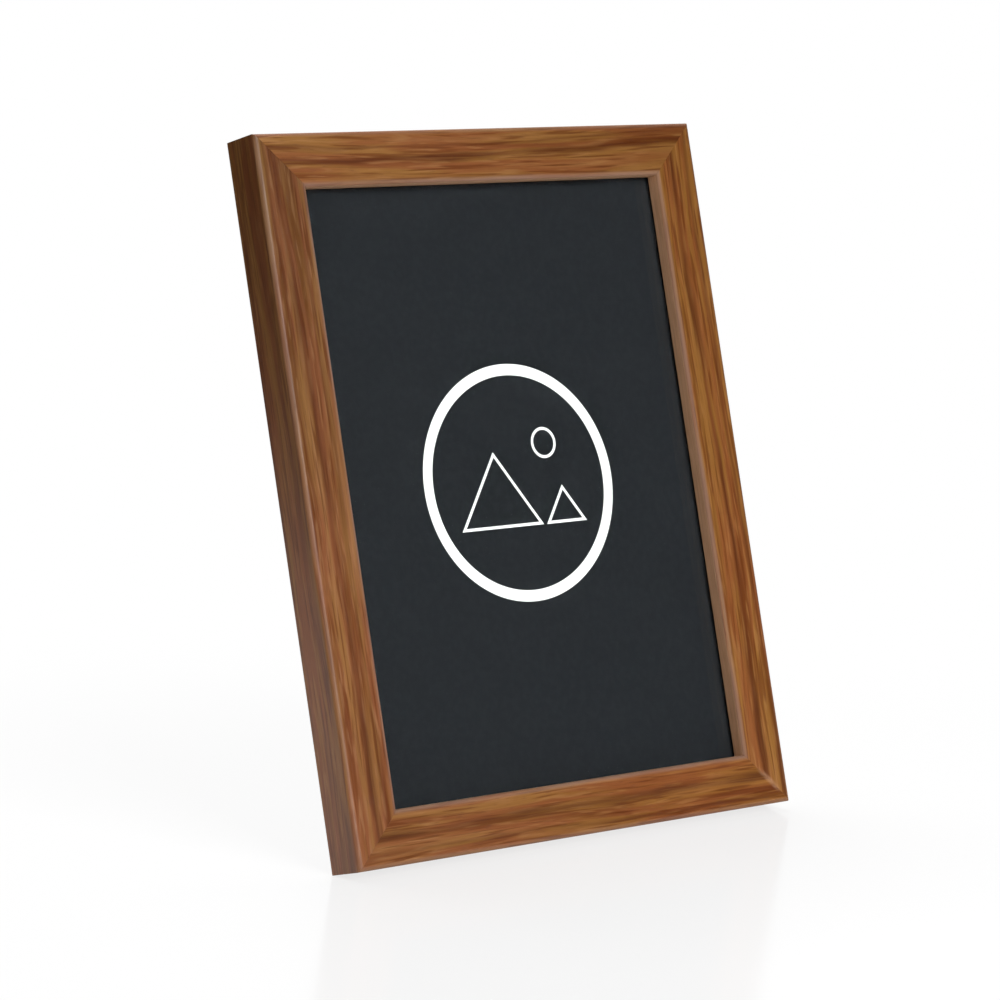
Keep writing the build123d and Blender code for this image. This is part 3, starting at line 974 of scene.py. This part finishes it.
@dataclass
class Moulding:
    """The four mitred lengths of walnut moulding, with their V nails."""

    posture: Posture
    nail_finish: Material
    outer: Easing = Easing(1.5 * MM)
    sight: Easing = Easing(1.2 * MM)
    back: Easing = Easing(0.8 * MM)
    inside: Easing = Easing(0.25 * MM)
    mitre: Easing = Easing(0.06 * MM, 2)
    rebate_clearance: float = 0.5 * MM
    groove_width: float = 1.5 * MM
    groove_depth: float = 3.0 * MM
    groove_from_board: float = 0.55 * MM
    slot_overrun: float = 1.0 * MM
    slot_clearance: float = 0.01 * MM

    def __post_init__(self) -> None:
        """Measures the moulding on the CAD lengths and on what lies in its rebate."""
        self.low, inner = self.posture.span(Side.LEFT.node)
        self.high = self.posture.span(Side.RIGHT.node)[1]
        glass = self.posture.span("glass_pane")[0]
        board_back = self.posture.span("back_board")[1].y
        self.face = inner.x - self.low.x
        self.depth = inner.y - self.low.y
        self.lip = glass.y - self.low.y
        self.land = glass.x - self.low.x - self.rebate_clearance
        middle = board_back - self.low.y + self.groove_from_board
        self.groove = (middle - self.groove_width / 2, middle + self.groove_width / 2)

    def length(self, side: Side) -> float:
        """Outer length of one side."""
        size = self.high - self.low
        return size.x if side in (Side.BOTTOM, Side.TOP) else size.z

    def seat(self, side: Side) -> Matrix:
        """Gives the place of one length.

        Args:
            side: The side of the frame.

        Returns:
            The matrix from the length's own frame, which has its outer edge on Z = 0.
        """
        middle = (self.low + self.high) / 2
        edges = {
            Side.BOTTOM: (middle.x, self.low.z),
            Side.TOP: (middle.x, self.high.z),
            Side.LEFT: (self.low.x, middle.z),
            Side.RIGHT: (self.high.x, middle.z),
        }
        across, up = edges[side]
        place = Matrix.Translation((across, self.low.y, up))
        return self.posture.seat @ place @ Matrix.Rotation(side.turn, 4, "Y")

    def model(self, name: str, length: float) -> Piece:
        """Models one length along X: a bar with its lip, groove, rounded arrises and mitres.

        Args:
            name: The piece's name.
            length: Its outer length.

        Returns:
            The piece, with its front on Y = 0 and its outer edge on Z = 0.
        """
        half = length / 2
        front, back = self.groove
        bar = add_box(name, Vector((-half, 0, 0)), Vector((half, self.depth, self.land)))
        with editing(bar):
            for level in (self.lip, front, back):
                cut((0, level, 0), (0, 1, 0))
            pick(bar, Element.FACES, lambda at, way: way.z > ALONG and at.y < self.lip)
            push((0, 0, self.face - self.land))
            pick(bar, Element.FACES, lambda at, way: way.z > ALONG and front < at.y < back)
            push((0, 0, -self.groove_depth))
            flatten()
            arrises = (
                (0, 0, self.outer),
                (0, self.face, self.sight),
                (self.depth, 0, self.back),
                (self.depth, self.land, self.inside),
                (self.lip, self.face, self.inside),
            )
            for depth, across, easing in arrises:
                spot = Vector((0, depth, across))
                pick(bar, Element.EDGES, lambda at, way: abs(way.x) > ALONG and (at - spot).length < NEAR)
                ease(easing)
            for end in (-1, 1):
                cut((end * half, 0, 0), (end, 0, 1), keep_below=True)
            pick(bar, Element.FACES, lambda at, way: abs(way.x) > TOWARDS and way.z > TOWARDS)
            bpy.ops.mesh.region_to_loop()
            ease(self.mitre)
        return bar

    def nail_slots(self) -> Piece:
        """Makes the cutter for the V nails' slots: the nails, a hair thicker and longer at the back.

        Returns:
            The cutter.
        """
        cutter = merged_copy("nail_slots", "corner_v_nails")
        back = self.posture.seat.col[1].xyz
        with editing(cutter):
            pick(cutter, Element.FACES, lambda at, way: way.dot(back) > ALONG)
            bpy.ops.transform.translate(value=back * self.slot_overrun)
            pick_all()
            bpy.ops.transform.shrink_fatten(value=self.slot_clearance)
        return cutter

    def build(self) -> None:
        """Models, slots, places and dresses the four lengths."""
        cutter = self.nail_slots()
        for side in Side:
            length = self.length(side)
            seat = self.seat(side)
            bar = self.model("moulding_" + side.name.lower(), length)
            settle(bar, seat)
            modify("BOOLEAN", operation="DIFFERENCE", solver="EXACT", object=cutter)
            clean(bar)
            half, face = (size * PER_METRE for size in (length / 2, self.face))
            enter(bar, Walnut(side, seat, half, face).material, side.node)
        bpy.data.objects.remove(cutter)
        dress("corner_v_nails", self.nail_finish)


@dataclass(frozen=True)
class Outline:
    """A regular outline in the insert's design, in millimetres from the design's middle."""

    corners: int  # many for a ring
    radius: float
    line: float
    place: tuple[float, float] = (0.0, 0.0)
    flattened: float = 1.0  # its height as a share of the regular one


@dataclass
class Picture:
    """The glass pane and the printed insert behind it."""

    posture: Posture
    air: float = 0.08 * MM
    glass_seam: Easing = Easing(0.3 * MM, 2)
    card_edge: Easing = Easing(0.06 * MM, 1)
    print_height: float = 0.03 * MM
    ring: Outline = Outline(128, 38.0, 3.6)
    hill: Outline = Outline(3, 19.0, 0.9, (-9.0, -5.9), 0.85)
    knoll: Outline = Outline(3, 9.5, 0.9, (17.0, -10.0), 0.85)
    sun: Outline = Outline(64, 5.0, 0.9, (12.0, 12.0))

    def sheet(self, name: str, node: str, edge: Easing, air: float = 0.0) -> Piece:
        """Models a sheet with eased edges.

        Args:
            name: The piece's name.
            node: The CAD node that it follows.
            edge: The easing of its edges.
            air: How much thinner it is than the node, at its back.

        Returns:
            The sheet, upright.
        """
        low, high = self.posture.span(node)
        sheet = add_box(name, low, high - Vector((0, air, 0)))
        with editing(sheet):
            pick_all()
            ease(edge)
        return sheet

    def layer(self, outline: Outline, middle: Vector) -> Piece:
        """Models an outline as a thin layer of ink.

        Args:
            outline: The outline.
            middle: The design's middle on the card's front.

        Returns:
            The layer, upright.
        """
        across, up = outline.place
        at = middle + Vector((across, 0, up)) * MM
        upright = (math.radians(90), 0, 0)
        radius = outline.radius * MM
        bpy.ops.mesh.primitive_circle_add(
            vertices=outline.corners, radius=radius, fill_type="NGON", location=at, rotation=upright
        )
        layer = bpy.context.object
        keep_place()
        with editing(layer):
            bpy.ops.mesh.select_mode(type=Element.FACES.value)
            pick_all()
            bpy.ops.transform.resize(value=(1, 1, outline.flattened), center_override=at)
            bpy.ops.mesh.inset(thickness=outline.line * MM)
            bpy.ops.mesh.delete(type="FACE")
            pick_all()
            push((0, -self.print_height, 0))
            pick_all()
            bpy.ops.mesh.normals_make_consistent(inside=False)
        return layer

    def design(self) -> Piece:
        """Models the white design: a ring round two hills and a sun.

        Returns:
            The design as one piece, upright.
        """
        low, high = self.posture.span("photo_insert")
        middle = Vector(((low.x + high.x) / 2, low.y, (low.z + high.z) / 2))
        outlines = (self.ring, self.hill, self.knoll, self.sun)
        layers = [self.layer(outline, middle) for outline in outlines]
        choose(layers[0])
        for layer in layers:
            layer.select_set(True)
        bpy.ops.object.join()
        layers[0].name = "insert_design"
        return layers[0]

    def build(self) -> None:
        """Models, places and dresses the pane, the card and its design."""
        seat = self.posture.seat
        pane = self.sheet("glass_sheet", "glass_pane", self.glass_seam, self.air)
        card = self.sheet("insert_card", "photo_insert", self.card_edge)
        design = self.design()
        for piece in (pane, card, design):
            settle(piece, seat)
        enter(pane, ClearGlass(seat).material, "glass_pane")
        enter(card, Charcoal(seat).material, "photo_insert")
        enter(design, White(seat).material, "photo_insert", stands_for=False)


@dataclass
class EaselStrut:
    """The fibreboard strut, notched round the hinge between two horns."""

    posture: Posture
    notch_clearance: float = 0.5 * MM
    barrel_radius: float = 2.05 * MM
    horn_width: float = 7.0 * MM
    toe: Easing = Easing(4.0 * MM)
    horn: Easing = Easing(1.0 * MM, 4)
    edge: Easing = Easing(0.3 * MM, 2)
    below_floor: float = 2.0 * MM

    def model(self) -> Piece:
        """Models the strut: a tapered board with two horns drawn up beside the notch.

        Returns:
            The strut in its place.
        """
        low, high = self.posture.span("easel_strut")
        pin_low, pin_high = self.posture.span("hinge_pin")
        notch = (pin_high.x - pin_low.x) / 2 + self.notch_clearance
        shoulder = (pin_low.z + pin_high.z) / 2 - self.barrel_radius - self.notch_clearance
        foot = (high.x - low.x) / 2
        top = notch + self.horn_width
        narrowing = (foot - top) / (high.z - low.z)
        waist = foot - narrowing * (shoulder - low.z)
        bottom = low.z - self.below_floor
        tips = high.z - NEAR
        outside = notch + NEAR
        strut = add_box("strut_board", Vector((-foot, low.y, bottom)), Vector((foot, high.y, shoulder)))
        with editing(strut):
            pick(strut, Element.FACES, lambda at, way: way.z > ALONG)
            bpy.ops.transform.resize(value=(waist / foot, 1, 1))
            for side in (-notch, notch):
                cut((side, 0, 0), (1, 0, 0))
            pick(strut, Element.FACES, lambda at, way: way.z > ALONG and abs(at.x) > notch)
            push((0, 0, high.z - shoulder))
            for side in (-1, 1):
                pick(strut, Element.CORNERS, lambda at, way: at.z > tips and side * at.x > outside)
                bpy.ops.transform.translate(value=(side * (top - waist), 0, 0))
            flatten()
            pick(strut, Element.EDGES, lambda at, way: abs(way.y) > ALONG and at.z < low.z)
            ease(self.toe)
            pick(
                strut,
                Element.EDGES,
                lambda at, way: abs(way.y) > ALONG and at.z > tips and abs(at.x) > outside,
            )
            ease(self.horn)
        settle(strut, self.posture.seat)
        with editing(strut):
            cut((0, 0, 0), (0, 0, -1), keep_below=True)
            bpy.ops.mesh.select_all(action="DESELECT")
            bpy.ops.mesh.select_mode(type=Element.EDGES.value)
            bpy.ops.mesh.edges_select_sharp(sharpness=SHARP)
            ease(self.edge)
        return strut

    def build(self) -> None:
        """Models and dresses the strut."""
        span = self.posture.span("easel_strut")
        finish = Fibreboard("strut_fibreboard", self.posture.seat, span)
        enter(self.model(), finish.material, "easel_strut")


@dataclass
class Back:
    """The back board and the steel pressings, rivets and rings on it and on the strut."""

    posture: Posture
    zinc: Material
    nickel: Material
    burr: Easing = Easing(0.15 * MM, 2)
    pressings: tuple[str, ...] = ("turn_clip_upper", "turn_clip_lower", "hanger_strap")
    leaves: tuple[str, ...] = ("hinge_board_leaf", "hinge_strut_leaf")
    rings_and_pin: tuple[str, ...] = ("hanger_ring", "hinge_pin")

    def pressing(self, node: str) -> Piece:
        """Copies a pressing and takes the burr off its edges.

        Args:
            node: The pressing's CAD node.

        Returns:
            The piece in its place.
        """
        piece = merged_copy("pressed_" + node, node)
        limits = {"limit_method": "ANGLE", "angle_limit": SHARP}
        modify("BEVEL", width=self.burr.radius, segments=self.burr.segments, **limits)
        clean(piece)
        return piece

    def build(self) -> None:
        """Eases and dresses the pressings, and dresses what keeps its CAD shape."""
        span = self.posture.span("back_board")
        dress("back_board", Fibreboard("board_fibreboard", self.posture.seat, span).material)
        for node in CARRIERS:
            if node.startswith(self.pressings + self.leaves):
                enter(self.pressing(node), self.zinc, node)
            elif node.endswith("rivets") or node.startswith(self.rings_and_pin):
                dress(node, self.nickel)


@dataclass(frozen=True)
class Lamp:
    """A square soft lamp, placed round the object's middle."""

    name: str
    azimuth_deg: float
    elevation_deg: float
    distance: float
    size: float
    power: float


@dataclass
class Studio:
    """Camera, table, lamps and surroundings."""

    camera_place: Sizes = (-0.8015, -0.9910, 0.2626)
    azimuth_deg: float = -38.828
    elevation_deg: float = 7.021
    lens_mm: float = 145.45
    sensor_mm: float = 36.0
    table_size: float = 1.5
    table_place: Sizes = (0.0, -0.12, CAD_BOX[0].z)
    ambient: float = 0.06
    room: float = 0.03
    backdrop_edge: tuple[float, float] = (0.75, 0.9)  # share of a direction along the view, none and all
    lamps: tuple[Lamp, ...] = (
        Lamp("key", -8, 26, 1.5, 0.7, 17.3),
        Lamp("back", 170, 65, 1.5, 0.9, 20.0),
    )

    def direction(self, azimuth_deg: float, elevation_deg: float) -> Vector:
        """Direction from the object towards an azimuth and an elevation."""
        turn = Euler((math.radians(-elevation_deg), 0, math.radians(azimuth_deg)))
        return turn.to_matrix() @ Vector((0, -1, 0))

    def aim(self, name: str, data: bpy.types.ID, place: Sequence[float], ahead: Vector) -> Piece:
        """Adds a camera or a lamp, and points it.

        Args:
            name: Its name.
            data: The camera or lamp.
            place: Where it stands.
            ahead: The direction that it faces.

        Returns:
            The new object.
        """
        holder = bpy.data.objects.new(name, data)
        bpy.context.scene.collection.objects.link(holder)
        holder.location = place
        holder.rotation_euler = ahead.to_track_quat("-Z", "Y").to_euler()
        return holder

    def camera(self) -> None:
        """Sets up the camera at the photograph's angle."""
        data = bpy.data.cameras.new("camera")
        data.lens = self.lens_mm
        data.sensor_width = self.sensor_mm
        ahead = -self.direction(self.azimuth_deg, self.elevation_deg)
        bpy.context.scene.camera = self.aim("camera", data, self.camera_place, ahead)

    def light(self, lamp: Lamp) -> None:
        """Adds a lamp that faces the object's middle.

        Args:
            lamp: The lamp's place, size and power.
        """
        data = bpy.data.lights.new(lamp.name, "AREA")
        data.size = lamp.size
        data.energy = lamp.power
        away = self.direction(lamp.azimuth_deg, lamp.elevation_deg)
        self.aim(lamp.name, data, (CAD_BOX[0] + CAD_BOX[1]) / 2 + away * lamp.distance, -away)

    def floor(self) -> None:
        """Adds the table top, which keeps the shadow and a faint reflection near the object."""
        bpy.ops.mesh.primitive_plane_add(size=self.table_size, location=self.table_place)
        floor = bpy.context.object
        floor.name = "floor"
        keep_place()
        floor.data.materials.append(WhiteTable(self.table_place, self.room).material)

    def surroundings(self) -> None:
        """Makes the world: white for the camera, and in reflections a white backdrop in a dim room."""
        world = bpy.data.worlds.new("studio")
        bpy.context.scene.world = world
        world.use_nodes = True
        nodes = Nodes(world.node_tree)
        path = nodes.add("ShaderNodeLightPath").outputs
        place = nodes.add("ShaderNodeTexCoord").outputs["Generated"]
        ahead = -self.direction(self.azimuth_deg, 0)
        facing = nodes.vector("DOT_PRODUCT", place, ahead)
        beyond_ambient = (self.room - self.ambient, 1.0 - self.ambient)
        backdrop = nodes.fade(facing, Fade(*self.backdrop_edge, *beyond_ambient), "LINEAR")
        mirrored = nodes.math("MAXIMUM", path["Is Glossy Ray"], path["Is Transmission Ray"])
        strength = nodes.math("MULTIPLY_ADD", mirrored, backdrop, self.ambient)
        light = world.node_tree.nodes["Background"].inputs
        light["Color"].default_value = WHITE_LIGHT
        nodes.feed(light["Strength"], nodes.math("MAXIMUM", path["Is Camera Ray"], strength))

    def build(self) -> None:
        """Sets up the camera, table, world and lamps."""
        self.camera()
        self.floor()
        self.surroundings()
        for lamp in self.lamps:
            self.light(lamp)
        bpy.context.scene.view_settings.view_transform = "Standard"


def main() -> None:
    """Builds the photo frame's looks and the studio."""
    logging.basicConfig(level=logging.INFO, format="%(message)s")
    leaning = Posture.of("back_board")
    open_strut = Posture.of("easel_strut")
    zinc = Zinc(leaning.seat).material
    nickel = Nickel(leaning.seat).material
    Moulding(leaning, zinc).build()
    Picture(leaning).build()
    EaselStrut(open_strut).build()
    Back(leaning, zinc, nickel).build()
    Studio().build()


if __name__ == "__main__":
    main()
